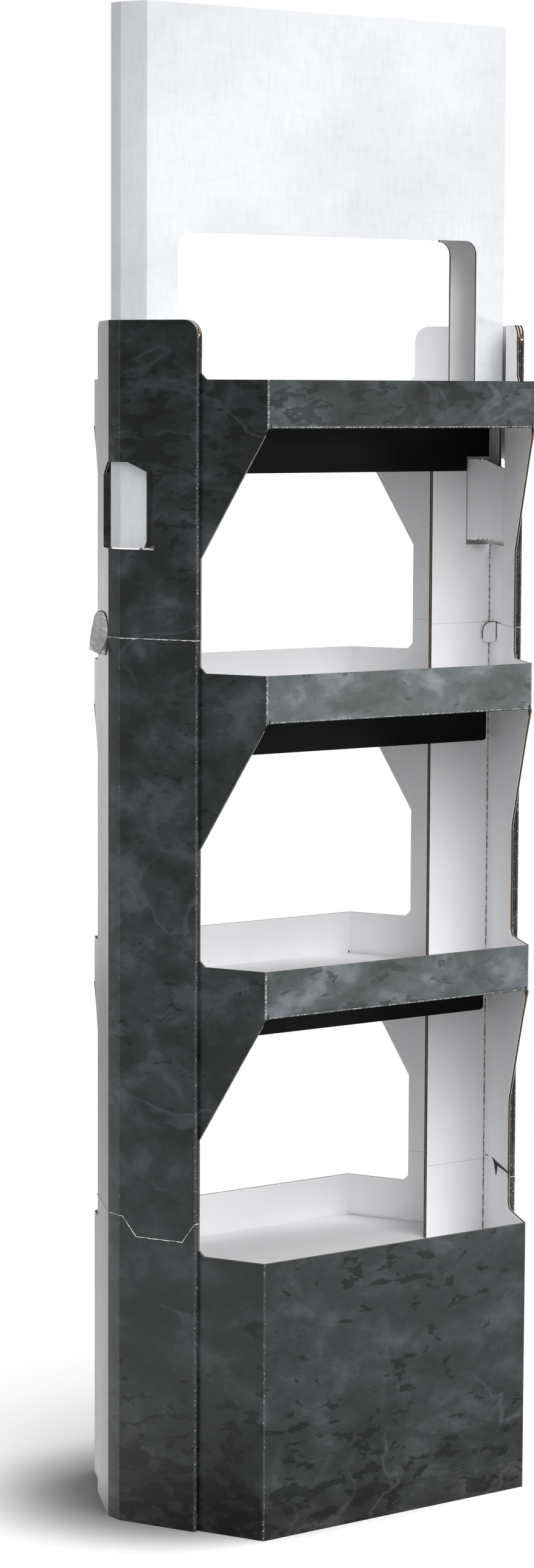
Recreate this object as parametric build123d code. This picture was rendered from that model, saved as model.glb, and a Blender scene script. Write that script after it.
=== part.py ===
from build123d import *
import os
from math import asin, atan2, cos, hypot, sin

# Cardboard floor display stand with four trays, open at the front and at the back.
# Three sections stand on one another: base, middle and upper. Each section is a ring of
# four folded corrugated sheets: a front frame, a rear frame and a sleeve round each tip.
# A header card plugs into the two upper sleeves, and a riser carries the lowest tray.
# Millimetres. The floor is z = 0, the front faces -Y, and the stand is centred on x = y = 0.

# Board and fits
board = 3.0             # thickness of the corrugated board
fit_gap = 0.3           # air between two sheets that lie against each other
hem_air = 1.0           # air inside the hem where a sleeve doubles back on itself
fold_round = 2.4        # outer radius of a crease

# Plan
half_width = 300.0      # middle of the stand to the outer face of a sleeve's tip
tip_flat = 24.0         # width of the flat strip at each tip
lip_width = 410.0       # width of a tray's front lip
lip_depth = 375.0       # front lip to rear lip, over both
column_side = 107.9     # a sleeve's side, from its tip to its hem
hem_reach = 46.0        # how far the sleeve's inner leaf runs back from its hem
fin_reach = 102.0       # sleeve's tip to the free edge of the fins
fin_front = 7.0         # front face of the front fin, behind the middle plane

# Heights
base_rim = 344.0        # top of the base's front panel
lower_rise = 357.0      # base's rim to the lower tray's rim
middle_rise = 356.5     # lower tray's rim to the middle tray's
upper_rise = 351.5      # middle tray's rim to the upper tray's
base_joint_rise = 41.0  # base's rim to the foot of the middle section
middle_joint_rise = 39.5    # middle tray's rim to the foot of the upper section
column_rise = 71.0      # upper tray's rim to the top of the columns
lip_height = 58.0
column_round = 20.0     # radius of the sleeve's top corners

# Frames
rim_notch = 7.5         # slanted step where a tray's rim meets the sleeve
gusset_drop = 156.0     # height of the slanted web that carries each lip
hinge_inset = 5.0       # the tray floor's crease stops this far short of the lip's corners
hinge_nick = 2.4        # width of the relief nick at each end of that crease
flange_drop = 57.5      # height of the flange that hangs at the inner end of a tray floor
flange_inset = 4.7      # gap between a flange's end and the tip strip
flange_round = 8.0
floor_inset = 0.3       # gap between the riser and the sheets round it

# Joints between sections
tongue_drop = 24.0      # how far a locking tongue reaches past its joint
tongue_hem_inset = 1.0  # hem to the root of the tongue
tongue_tip_inset = 4.5  # tip to the root of the tongue
tongue_shoulder = 17.0  # slope at the hem end of the tongue
tongue_run = 21.0       # slope at the tip end of the tongue
tongue_gap = 0.5
tongue_lean = 3.0       # degrees that a tongue stands proud

# Locking windows and bands in the upper sleeves
band_side = 47.9        # tip to the hinge of the band
band_drop = 100.0       # upper tray's rim down to the top of the band
band_height = 104.0
band_shoulder = 16.0    # how far the top edge slants down towards the hinge
band_slant = 36.5       # length of the slanted part
band_clear = 7.0        # room kept round the band by the frames
band_slit = 0.6         # width of the cut round the band

# Header card
header_rise = 378.0     # top of the columns to the top of the header
header_face = 271.5     # height of the header above its window
header_front = -36.0    # y of the header's front face
header_tip_inset = 7.4  # sleeve's tip to the header's tip
header_strip = 22.4     # width of the header's flat strip at the tip
header_return = 79.7     # how far the header runs back inwards behind its legs
header_leg = 45.0       # width of the header's legs, beside the window
header_window_round = 17.0
header_tongue_cut = 10.0

# Worked out from the above
hem_depth = 2 * board + hem_air
liner_out = hem_depth + fit_gap      # inset of a frame's outer face from the sleeve's
liner_in = liner_out + board
header_inset = liner_in + fit_gap
half_lip = lip_width / 2
half_depth = lip_depth / 2
run_x = half_width - half_lip
run_y = half_depth - tip_flat / 2
chamfer = atan2(run_x, run_y) - asin(liner_out / hypot(run_x, run_y))
foot_x = half_lip + liner_out * cos(chamfer)
foot_y = -half_depth - liner_out * sin(chamfer)
tip_along = (half_width - foot_x) / sin(chamfer)
column_edge = tip_along - column_side
band_start = tip_along - band_side
band_hinge_x = foot_x + band_start * sin(chamfer)
band_hinge_y = foot_y + band_start * cos(chamfer)
band_throw = half_width - band_hinge_x      # how far the pushed-in tip lies behind the hinges
band_angle = atan2(band_throw, -tip_flat / 2 - band_hinge_y)
band_reach = band_hinge_x - band_throw - board
tongue_start = column_edge + tongue_hem_inset
tongue_end = tip_along - tongue_tip_inset
fin_edge = half_width - fin_reach
fin_back = fin_front + board
rear_fin_front = fin_back + fit_gap
rear_fin_back = rear_fin_front + board
lower_shelf_rim = base_rim + lower_rise
middle_shelf_rim = lower_shelf_rim + middle_rise
upper_shelf_rim = middle_shelf_rim + upper_rise
shelf_rims = (lower_shelf_rim, middle_shelf_rim, upper_shelf_rim)
tray_floor = base_rim - lip_height + board
base_joint = base_rim + base_joint_rise
middle_joint = middle_shelf_rim + middle_joint_rise
column_top = upper_shelf_rim + column_rise
header_top = column_top + header_rise
header_window_top = header_top - header_face
band_high = upper_shelf_rim - band_drop
band_low = band_high - band_height
header_tongue_low = band_low + band_slit


def on_chamfer(along, inset):
    """Plan point on the front right chamfer: distance from the lip corner, depth in from the sleeve."""
    x = foot_x + along * sin(chamfer) - inset * cos(chamfer)
    y = foot_y + along * cos(chamfer) + inset * sin(chamfer)
    return (x, y)


def chamfer_at_x(x, inset):
    """The point at x on the line that lies inset from the chamfer's outer face."""
    along = (x - foot_x + inset * cos(chamfer)) / sin(chamfer)
    return on_chamfer(along, inset)


def chamfer_at_y(y, inset):
    """The point at y on the line that lies inset from the chamfer's outer face."""
    along = (y - foot_y - inset * sin(chamfer)) / cos(chamfer)
    return on_chamfer(along, inset)


def profile(points, folds=()):
    """A flat outline through the points, with the corners named in folds rounded."""
    face = Sketch() + make_face(Polyline(*points, close=True))
    corners = [
        v for v in face.vertices()
        if any(hypot(v.X - p[0], v.Y - p[1]) < 0.01 for p in folds)
    ]
    if corners:
        face = fillet(corners, fold_round)
    return face


def both_halves(points):
    """A closed outline from its right half, mirrored in x = 0. The first and last point lie on x = 0."""
    return list(points) + [(-x, y) for x, y in reversed(points[1:-1])]


def standing(face, low, high):
    """The outline stood up between two heights."""
    return Pos(0, 0, low) * extrude(face, high - low)


def slab(x0, x1, y0, y1, z0, z1):
    """A block between two corners, used to cut."""
    return Pos((x0 + x1) / 2, (y0 + y1) / 2, (z0 + z1) / 2) * Box(x1 - x0, y1 - y0, z1 - z0)


def on_panel(points, inset_near, inset_far):
    """A plate on the front right chamfer. Points are (along, height), the insets its two faces."""
    x, y = on_chamfer(0, inset_far)
    panel = Plane(
        origin=(x, y, 0),
        x_dir=(sin(chamfer), cos(chamfer), 0),
        z_dir=(cos(chamfer), -sin(chamfer), 0),
    )
    return extrude(panel * make_face(Polyline(*points, close=True)), inset_far - inset_near)


def mirrored_x(part):
    return mirror(part, about=Plane.YZ)


def mirrored_y(part):
    return mirror(part, about=Plane.XZ)


def rounded_top(inset_near, inset_far):
    """What is cut from a panel to round its upper free corner at the top of the column."""
    edge = column_edge - board
    centre = column_edge + column_round
    corner = on_panel(
        [
            (edge, column_top - column_round),
            (centre, column_top - column_round),
            (centre, column_top + board),
            (edge, column_top + board),
        ],
        inset_near,
        inset_far,
    )
    x, y = on_chamfer(centre, inset_far + board)
    axis = Plane(
        origin=(x, y, column_top - column_round),
        x_dir=(sin(chamfer), cos(chamfer), 0),
        z_dir=(cos(chamfer), -sin(chamfer), 0),
    )
    disc = extrude(axis * Circle(column_round), inset_far - inset_near + 2 * board)
    return corner - disc


# Sleeves. One sheet wraps each tip: chamfer, flat tip, chamfer. Both free edges are
# hemmed, and the inner leaf of the hem lies behind the outer wall.

def sleeve_profile():
    """The right sleeve in plan."""
    hem_end = column_edge + hem_reach
    front = [
        (half_width, -tip_flat / 2),
        on_chamfer(column_edge, 0),
        on_chamfer(column_edge, hem_depth),
        on_chamfer(hem_end, hem_depth),
        on_chamfer(hem_end, hem_depth - board),
        on_chamfer(column_edge + board, hem_depth - board),
        on_chamfer(column_edge + board, board),
        chamfer_at_x(half_width - board, board),
    ]
    rear = [(x, -y) for x, y in reversed(front)]
    return profile(front + rear, folds=front[:3] + rear[-3:])


def tongue_outline(joint, drop, margin=0.0):
    """A tongue on the chamfer that reaches past a joint. The margin makes the cut it sits in."""
    return [
        (tongue_start - margin, joint),
        (tongue_start + tongue_shoulder - margin, joint - drop - margin),
        (tongue_end - tongue_run + margin, joint - drop - margin),
        (tongue_end + margin, joint),
    ]


def at_joint(piece, joint):
    """The tongues are at the front in the lower joint and at the back in the upper one."""
    return mirrored_y(piece) if joint == middle_joint else piece


def tongue(joint):
    """A tongue in the sleeve's outer wall, leaning out a little from its root."""
    plate = on_panel(tongue_outline(joint, tongue_drop), 0, board)
    x, y = on_chamfer(0, board)
    root = Axis(origin=(x, y, joint), direction=(sin(chamfer), cos(chamfer), 0))
    return at_joint(plate.rotate(root, -tongue_lean), joint)


def tongue_notch(joint):
    """The notch that the tongue of the section above drops into."""
    notch = on_panel(tongue_outline(joint, tongue_drop, tongue_gap), -board, board + hem_air / 2)
    return at_joint(notch, joint)


def band_outline(margin):
    """The locking band's half outline on the chamfer, grown by the width of the cut."""
    tip = tip_along + board
    return [
        (band_start, band_low - margin),
        (tip, band_low - margin),
        (tip, band_high + margin),
        (band_start + band_slant, band_high + margin),
        (band_start, band_high - band_shoulder + margin),
    ]


def locking_band():
    """The strip of the sleeve between two cuts, pushed in so that its tip points inwards."""
    inner_tip = band_hinge_x - band_throw
    fold_y = -tip_flat / 2
    printed = [(band_hinge_x, band_hinge_y), (inner_tip, fold_y)]
    lined = [
        (inner_tip - board, fold_y + board * (1 - sin(band_angle)) / cos(band_angle)),
        (band_hinge_x - board / cos(band_angle), band_hinge_y),
    ]
    rear_printed = [(x, -y) for x, y in reversed(printed)]
    rear_lined = [(x, -y) for x, y in reversed(lined)]
    outline = profile(printed + rear_printed + rear_lined + lined)
    band = standing(outline, band_low, band_high)
    # The slanted ends of the cut come in with the band.
    slant_end = fold_y + (1 - band_slant / band_side) * (band_hinge_y - fold_y)
    slope = Polyline(
        (-band_hinge_y + board, band_high - band_shoulder),
        (-band_hinge_y, band_high - band_shoulder),
        (-slant_end, band_high),
        (-band_hinge_y + board, band_high),
        close=True,
    )
    wedge = extrude(Plane.YZ * make_face(slope), half_width)
    return band - wedge - mirrored_y(wedge)


def sleeve(low, high, notch_at=None, tongue_at=None, top=False):
    """The right sleeve of one section, with its joints to the sections above and below."""
    body = standing(sleeve_profile(), low, high)
    if notch_at:
        body -= tongue_notch(notch_at)
    if tongue_at:
        body += tongue(tongue_at)
    if top:
        corner = rounded_top(-board, hem_depth + board)
        body -= corner + mirrored_y(corner)
        window = on_panel(band_outline(band_slit), -board, board + hem_air / 2)
        strip = slab(
            half_width - board - hem_air, half_width + board, -tip_flat, tip_flat,
            band_low - band_slit, band_high + band_slit,
        )
        body -= window + mirrored_y(window) + strip
        body += locking_band()
    return body


# Frames. One sheet makes the lip corners, the brackets, the liners inside both sleeves
# and the two fins. A flap cut from each bay folds in at the foot of the lip as one half
# of a tray's floor, and its end folds down as a flange against the fins.

def frame_profile(fin_far):
    """A frame in plan, seen as a front frame. fin_far is the y of the fin's inner-facing side."""
    fin_near = fin_far - board
    tip_out = half_width - board - fit_gap
    tip_in = tip_out - board
    outer = [(0, -half_depth), (half_lip, -half_depth)]
    inner = [(0, -half_depth + board), chamfer_at_y(-half_depth + board, liner_in)]
    if chamfer_at_x(tip_out, liner_out)[1] < fin_near:
        outer += [chamfer_at_x(tip_out, liner_out), (tip_out, fin_far)]
        inner += [chamfer_at_x(tip_in, liner_in), (tip_in, fin_near)]
    else:
        outer += [chamfer_at_y(fin_far, liner_out)]
        inner += [chamfer_at_y(fin_near, liner_in)]
    outer += [(fin_edge, fin_far)]
    inner += [(fin_edge, fin_near)]
    folds = outer[1:-1]
    folds += [(-x, y) for x, y in folds]
    return profile(both_halves(outer + list(reversed(inner))), folds=folds)


def bay_cut(rim, lip_foot):
    """What is cut from a frame between the rim of one tray and the foot of the next lip."""
    front = slab(-half_lip, half_lip, -half_depth - board, -half_depth + 2 * board, rim, lip_foot)
    side = on_panel(
        [
            (-board, rim),
            (column_edge - rim_notch, rim),
            (column_edge, rim + rim_notch),
            (column_edge, lip_foot - gusset_drop),
            (0, lip_foot),
            (-board, lip_foot),
        ],
        liner_out - board,
        liner_in + board,
    )
    return front + side + mirrored_x(side)


def open_top():
    """What is cut above the upper tray, up past the top of the columns."""
    high = column_top + board
    front = slab(
        -half_lip, half_lip, -half_depth - board, -half_depth + 2 * board, upper_shelf_rim, high,
    )
    side = on_panel(
        [
            (-board, upper_shelf_rim),
            (column_edge - rim_notch, upper_shelf_rim),
            (column_edge, upper_shelf_rim + rim_notch),
            (column_edge, high),
            (-board, high),
        ],
        liner_out - board,
        liner_in + board,
    )
    corner = rounded_top(liner_out - board, liner_in + board)
    return front + side + corner + mirrored_x(side) + mirrored_x(corner)


def tray_flap(lip_foot, flap_end, notch=False):
    """Half of a tray's floor with its flange, hinged on the foot of the lip."""
    liner_x = chamfer_at_y(flap_end, liner_in)[0]
    flange_half = min(half_width - fit_gap - 2 * board, liner_x) - flange_inset
    hinge_half = half_lip - hinge_inset
    top = lip_foot + board
    bend = top + board
    low = lip_foot - flange_drop
    section = [
        (-half_depth, bend),
        (-half_depth, lip_foot),
        (flap_end - board, lip_foot),
        (flap_end - board, low),
        (flap_end, low),
        (flap_end, top),
        (-half_depth + board, top),
        (-half_depth + board, bend),
    ]
    side = profile(section, folds=[section[1], section[5]])
    run = extrude(Plane.YZ * side, half_width, both=True)
    plan = profile(
        [
            (-hinge_half, -half_depth),
            (hinge_half, -half_depth),
            (hinge_half, -half_depth + board),
            (flange_half, flap_end),
            (-flange_half, flap_end),
            (-hinge_half, -half_depth + board),
        ]
    )
    front_view = Pos(0, bend - (bend - low) / 2) * Rectangle(2 * flange_half, bend - low)
    lower = [v for v in front_view.vertices() if v.Y < low + board]
    front_view = fillet(lower, flange_round)
    outline = extrude(Plane.XZ * front_view, half_width, both=True)
    flap = run & standing(plan, low, bend) & outline
    if notch:
        clear = band_reach - band_clear / 2
        for sign in (-1, 1):
            flap -= slab(
                min(sign * clear, sign * half_width), max(sign * clear, sign * half_width),
                -half_depth, half_depth, low - board, band_high + board,
            )
    return flap


def frame(low, high, fin_far, flap_end, lips, top=False):
    """One frame as a front frame, with a tray flap at each lip."""
    body = standing(frame_profile(fin_far), low, high)
    rims = (base_rim,) + shelf_rims
    for rim, next_rim in zip(rims, shelf_rims):
        if rim < high and next_rim - lip_height > low:
            body -= bay_cut(rim, next_rim - lip_height)
    if top:
        body -= open_top()
        body -= band_room(fin_far)
    slot_half = half_lip - hinge_inset + hinge_nick
    for rim in lips:
        foot = rim - lip_height
        body -= slab(
            -slot_half, slot_half, -half_depth - board, -half_depth + 2 * board,
            foot - board, foot + 2 * board,
        )
        body += tray_flap(foot, flap_end, notch=top)
    return body


def band_room(fin_far):
    """The frames stop short of the tips above this height, for the header and the bands."""
    low = band_low - band_clear
    side = on_panel(
        [
            (band_start - board / 2, low),
            (tip_along + tip_flat, low),
            (tip_along + tip_flat, column_top + board),
            (band_start - board / 2, column_top + board),
        ],
        0,
        liner_in + board,
    )
    clear = band_reach - board / 3
    room = side + slab(clear, half_width, -tip_flat, fin_far + board, low, column_top + board)
    over_floor = slab(
        fin_edge - board, half_width, 0 if fin_far > 0 else fin_far - 2 * board, fin_far + board,
        upper_shelf_rim - lip_height, column_top + board,
    )
    room += over_floor
    return room + mirrored_x(room)


# Riser. A hexagonal floor for the lowest tray, with two legs that stand on the ground
# behind the front and rear panels. Slots let it drop down over the fins.

def base_riser():
    leg_out = half_depth - board - floor_inset
    leg_in = leg_out - board
    leg_half = half_lip - hinge_inset - fit_gap
    section = [
        (-leg_out, 0),
        (-leg_out, tray_floor),
        (leg_out, tray_floor),
        (leg_out, 0),
        (leg_in, 0),
        (leg_in, tray_floor - board),
        (-leg_in, tray_floor - board),
        (-leg_in, 0),
    ]
    side = profile(section, folds=section[1:3])
    run = extrude(Plane.YZ * side, half_width, both=True)
    tip_in = half_width - 2 * board - fit_gap - floor_inset
    side_inset = liner_in + floor_inset
    slot_front = fin_front - floor_inset
    slot_rear = rear_fin_back + floor_inset
    front_tip = [chamfer_at_x(tip_in, side_inset), (tip_in, slot_front)]
    if front_tip[0][1] > slot_front - board:
        front_tip = [chamfer_at_y(slot_front, side_inset)]
    rear_tip_x = chamfer_at_y(-slot_rear, side_inset)[0]
    slot_in = fin_edge - floor_inset
    half = [
        (0, -leg_out),
        (leg_half, -leg_out),
        *front_tip,
        (slot_in, slot_front),
        (slot_in, slot_rear),
        (rear_tip_x, slot_rear),
        (leg_half, leg_out),
        (0, leg_out),
    ]
    return run & standing(profile(both_halves(half)), 0, tray_floor)


# Header card. One sheet: a front panel with a window, a wrap round each tip and a short
# return behind. Its legs stand on the upper tray, and a tongue at each tip goes on down
# inside the sleeve, behind the locking band's window.

def header_card():
    foot = upper_shelf_rim - lip_height + board + fit_gap
    tip_x = half_width - header_tip_inset
    corner = chamfer_at_y(header_front, header_inset)
    tip = chamfer_at_x(tip_x, header_inset)
    rear_y = tip[1] + header_strip
    inner_corner = chamfer_at_y(header_front + board, header_inset + board)
    inner_tip = chamfer_at_x(tip_x - board, header_inset + board)
    half = [
        (0, header_front),
        corner,
        tip,
        (tip_x, rear_y),
        (tip_x - header_return, rear_y),
        (tip_x - header_return, rear_y - board),
        (tip_x - board, rear_y - board),
        inner_tip,
        inner_corner,
        (0, header_front + board),
    ]
    folds = half[1:4]
    folds += [(-x, y) for x, y in folds]
    card = standing(profile(both_halves(half), folds=folds), header_tongue_low, header_top)
    # Between the legs and over the window.
    window_low = header_tongue_low - board
    window = Pos(0, (window_low + header_window_top) / 2) * Rectangle(
        2 * (corner[0] - header_leg), header_window_top - window_low
    )
    upper = [v for v in window.vertices() if v.Y > header_window_top - board]
    window = fillet(upper, header_window_round)
    card -= extrude(Plane.XZ * window, half_depth, both=True)
    # Below the foot only the wrap and the strip at the tip go on, as a tongue.
    front_cut = slab(
        0, corner[0], header_front - board, header_front + board, header_tongue_low - board, foot,
    )
    rear_cut = slab(
        0, tip_x - board, rear_y - board, rear_y + board, header_tongue_low - board, foot,
    )
    along = (corner[0] - foot_x + header_inset * cos(chamfer)) / sin(chamfer)
    nose = on_panel(
        [
            (along - board, header_tongue_low - board),
            (along + header_tongue_cut / 2, header_tongue_low - board),
            (along, header_tongue_low + header_tongue_cut),
            (along - board, header_tongue_low + header_tongue_cut),
        ],
        header_inset - board,
        header_inset + 2 * board,
    )
    cuts = front_cut + rear_cut + nose
    return card - cuts - mirrored_x(cuts)


# The nodes

rear_far = -rear_fin_front
front_flap = fin_front - fit_gap
rear_flap = -(rear_fin_back + fit_gap)
middle_lips = (lower_shelf_rim, middle_shelf_rim)
upper_lips = (upper_shelf_rim,)

base_sleeve = sleeve(0, base_joint - fit_gap, notch_at=base_joint)
middle_sleeve = sleeve(
    base_joint, middle_joint - fit_gap, notch_at=middle_joint, tongue_at=base_joint
)
upper_sleeve = sleeve(middle_joint, column_top, tongue_at=middle_joint, top=True)

nodes = {
    "header_card": header_card(),
    "upper_sleeve_right": upper_sleeve,
    "upper_sleeve_left": mirrored_x(upper_sleeve),
    "middle_sleeve_right": middle_sleeve,
    "middle_sleeve_left": mirrored_x(middle_sleeve),
    "base_sleeve_right": base_sleeve,
    "base_sleeve_left": mirrored_x(base_sleeve),
    "upper_frame_front": frame(
        middle_joint, column_top, fin_back, front_flap, upper_lips, top=True
    ),
    "upper_frame_rear": mirrored_y(
        frame(middle_joint, column_top, rear_far, rear_flap, upper_lips, top=True)
    ),
    "middle_frame_front": frame(
        base_joint, middle_joint - fit_gap, fin_back, front_flap, middle_lips
    ),
    "middle_frame_rear": mirrored_y(
        frame(base_joint, middle_joint - fit_gap, rear_far, rear_flap, middle_lips)
    ),
    "base_frame_front": frame(0, base_joint - fit_gap, fin_back, front_flap, ()),
    "base_frame_rear": mirrored_y(frame(0, base_joint - fit_gap, rear_far, rear_flap, ())),
    "base_riser": base_riser(),
}

os.makedirs("parts", exist_ok=True)
for name, part in nodes.items():
    export_step(part, f"parts/{name}.step")
    print(name, "solids", len(part.solids()), "volume", round(part.volume))
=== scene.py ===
import math

import bmesh
import bpy
from mathutils import Matrix, Vector
from mathutils.bvhtree import BVHTree


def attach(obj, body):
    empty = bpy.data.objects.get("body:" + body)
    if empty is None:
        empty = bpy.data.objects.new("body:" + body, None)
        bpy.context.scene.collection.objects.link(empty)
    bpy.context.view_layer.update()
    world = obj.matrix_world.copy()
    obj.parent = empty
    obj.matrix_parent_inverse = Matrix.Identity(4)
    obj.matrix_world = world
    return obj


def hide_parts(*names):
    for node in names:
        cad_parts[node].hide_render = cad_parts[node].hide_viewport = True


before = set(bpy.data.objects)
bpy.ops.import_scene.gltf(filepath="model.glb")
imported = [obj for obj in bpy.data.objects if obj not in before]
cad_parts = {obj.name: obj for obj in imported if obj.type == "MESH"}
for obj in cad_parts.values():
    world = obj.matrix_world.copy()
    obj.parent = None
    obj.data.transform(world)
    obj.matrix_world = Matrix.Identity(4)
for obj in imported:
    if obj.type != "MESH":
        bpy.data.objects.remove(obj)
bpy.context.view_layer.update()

scene = bpy.context.scene

# Frames. Six folded sheets of single-wall board, three in front and three behind: the lip
# corners, the slanted brackets, the liners inside the columns and the fins. They are die-cut,
# printed on the outside only, and held by the sleeves. The flutes run upwards.

board = 0.003           # thickness of the board, in metres as all sizes are
liner_paper = 0.0004    # thickness of its outer papers
core_recess = 0.0009    # how far the crushed core lies below a cut edge
crease_width = 0.0022   # a printed fold is no wider than this
flange_reach = 0.018    # a tray's flange lies this near the middle plane
front_reach = 0.1862    # the flat front and rear faces lie further out than this
inner_corner = (0.2937, 0.007)  # x and y of the cracked crease inside each column
crack_width = 0.0013
crossing_tilt = 0.25    # a cut that faces up or down by more than this crosses the flutes
lowest_lip = 0.45       # the trays' lips lie higher than this
ramp_height = 2.0       # the height that a ramp from 0 to 1 spans
front_print_and_sheen_gain = 3.0          # the front and rear faces are up to this many times lighter: partly lighter print, partly painted sheen
PRINT, LINER, CORE, CREASE, PAPER, BLACK = range(6)


def srgb(r, g, b):
    """A colour as it looks on a screen, 0 to 255, as the linear colour that a shader takes."""
    parts = [c / 255 for c in (r, g, b)]
    return [c / 12.92 if c <= 0.04045 else ((c + 0.055) / 1.055) ** 2.4 for c in parts] + [1.0]


def new_material(name, roughness, specular):
    """A material with a Principled shader, and its node tree to add a pattern to."""
    material = bpy.data.materials.new(name)
    material.use_nodes = True
    nodes = material.node_tree.nodes
    shader = nodes["Principled BSDF"]
    shader.inputs["Roughness"].default_value = roughness
    shader.inputs["Specular IOR Level"].default_value = specular
    return material, nodes, material.node_tree.links, shader


def object_space(nodes, links, scale=(1.0, 1.0, 1.0)):
    """Object coordinates, scaled along each axis."""
    place = nodes.new("ShaderNodeTexCoord")
    mapping = nodes.new("ShaderNodeMapping")
    mapping.inputs["Scale"].default_value = scale
    links.new(place.outputs["Object"], mapping.inputs["Vector"])
    return mapping.outputs["Vector"]


def noise(nodes, links, vector, scale, detail=3.0, roughness=0.5, distortion=0.0):
    """A noise texture's value, from 0 to 1."""
    node = nodes.new("ShaderNodeTexNoise")
    node.inputs["Scale"].default_value = scale
    node.inputs["Detail"].default_value = detail
    node.inputs["Roughness"].default_value = roughness
    node.inputs["Distortion"].default_value = distortion
    links.new(vector, node.inputs["Vector"])
    return node.outputs["Fac"]


def ramp(nodes, links, value, stops):
    """A colour ramp over a value. Stops are (position, colour)."""
    node = nodes.new("ShaderNodeValToRGB")
    elements = node.color_ramp.elements
    elements[0].position, elements[0].color = stops[0]
    elements[1].position, elements[1].color = stops[-1]
    for position, colour in stops[1:-1]:
        elements.new(position).color = colour
    links.new(value, node.inputs["Fac"])
    return node.outputs["Color"]


def mix(nodes, links, factor, a, b, blend="MIX"):
    """Two colours mixed. The factor is a number or a socket, and so is each colour."""
    node = nodes.new("ShaderNodeMix")
    node.data_type = "RGBA"
    node.blend_type = blend
    for name, value in (("Factor_Float", factor), ("A_Color", a), ("B_Color", b)):
        socket = next(s for s in node.inputs if s.identifier == name)
        if isinstance(value, bpy.types.NodeSocket):
            links.new(value, socket)
        else:
            socket.default_value = value
    return next(s for s in node.outputs if s.identifier == "Result_Color")


def relief(nodes, links, shader, height, distance):
    """A bump on the shader, distance metres high."""
    bump = nodes.new("ShaderNodeBump")
    bump.inputs["Distance"].default_value = distance
    bump.inputs["Strength"].default_value = 1.0
    links.new(height, bump.inputs["Height"])
    links.new(bump.outputs["Normal"], shader.inputs["Normal"])


def calc(nodes, links, operation, *values):
    """The result of a Math node. Each value is a number or a socket."""
    node = nodes.new("ShaderNodeMath")
    node.operation = operation
    for socket, value in zip(node.inputs, values):
        if isinstance(value, bpy.types.NodeSocket):
            links.new(value, socket)
        else:
            socket.default_value = value
    return node.outputs["Value"]


def axis_of(nodes, links, axis):
    """One object coordinate, in metres."""
    split = nodes.new("ShaderNodeSeparateXYZ")
    links.new(object_space(nodes, links), split.inputs["Vector"])
    return split.outputs[axis]


def grey(value):
    """A grey of this linear value."""
    return (value, value, value, 1)


def on_front(nodes, links):
    """1 on the flat front and rear faces of the trays and the base, and 0 elsewhere."""
    reach = calc(nodes, links, "ABSOLUTE", axis_of(nodes, links, "Y"))
    return calc(nodes, links, "GREATER_THAN", reach, front_reach)


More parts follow.
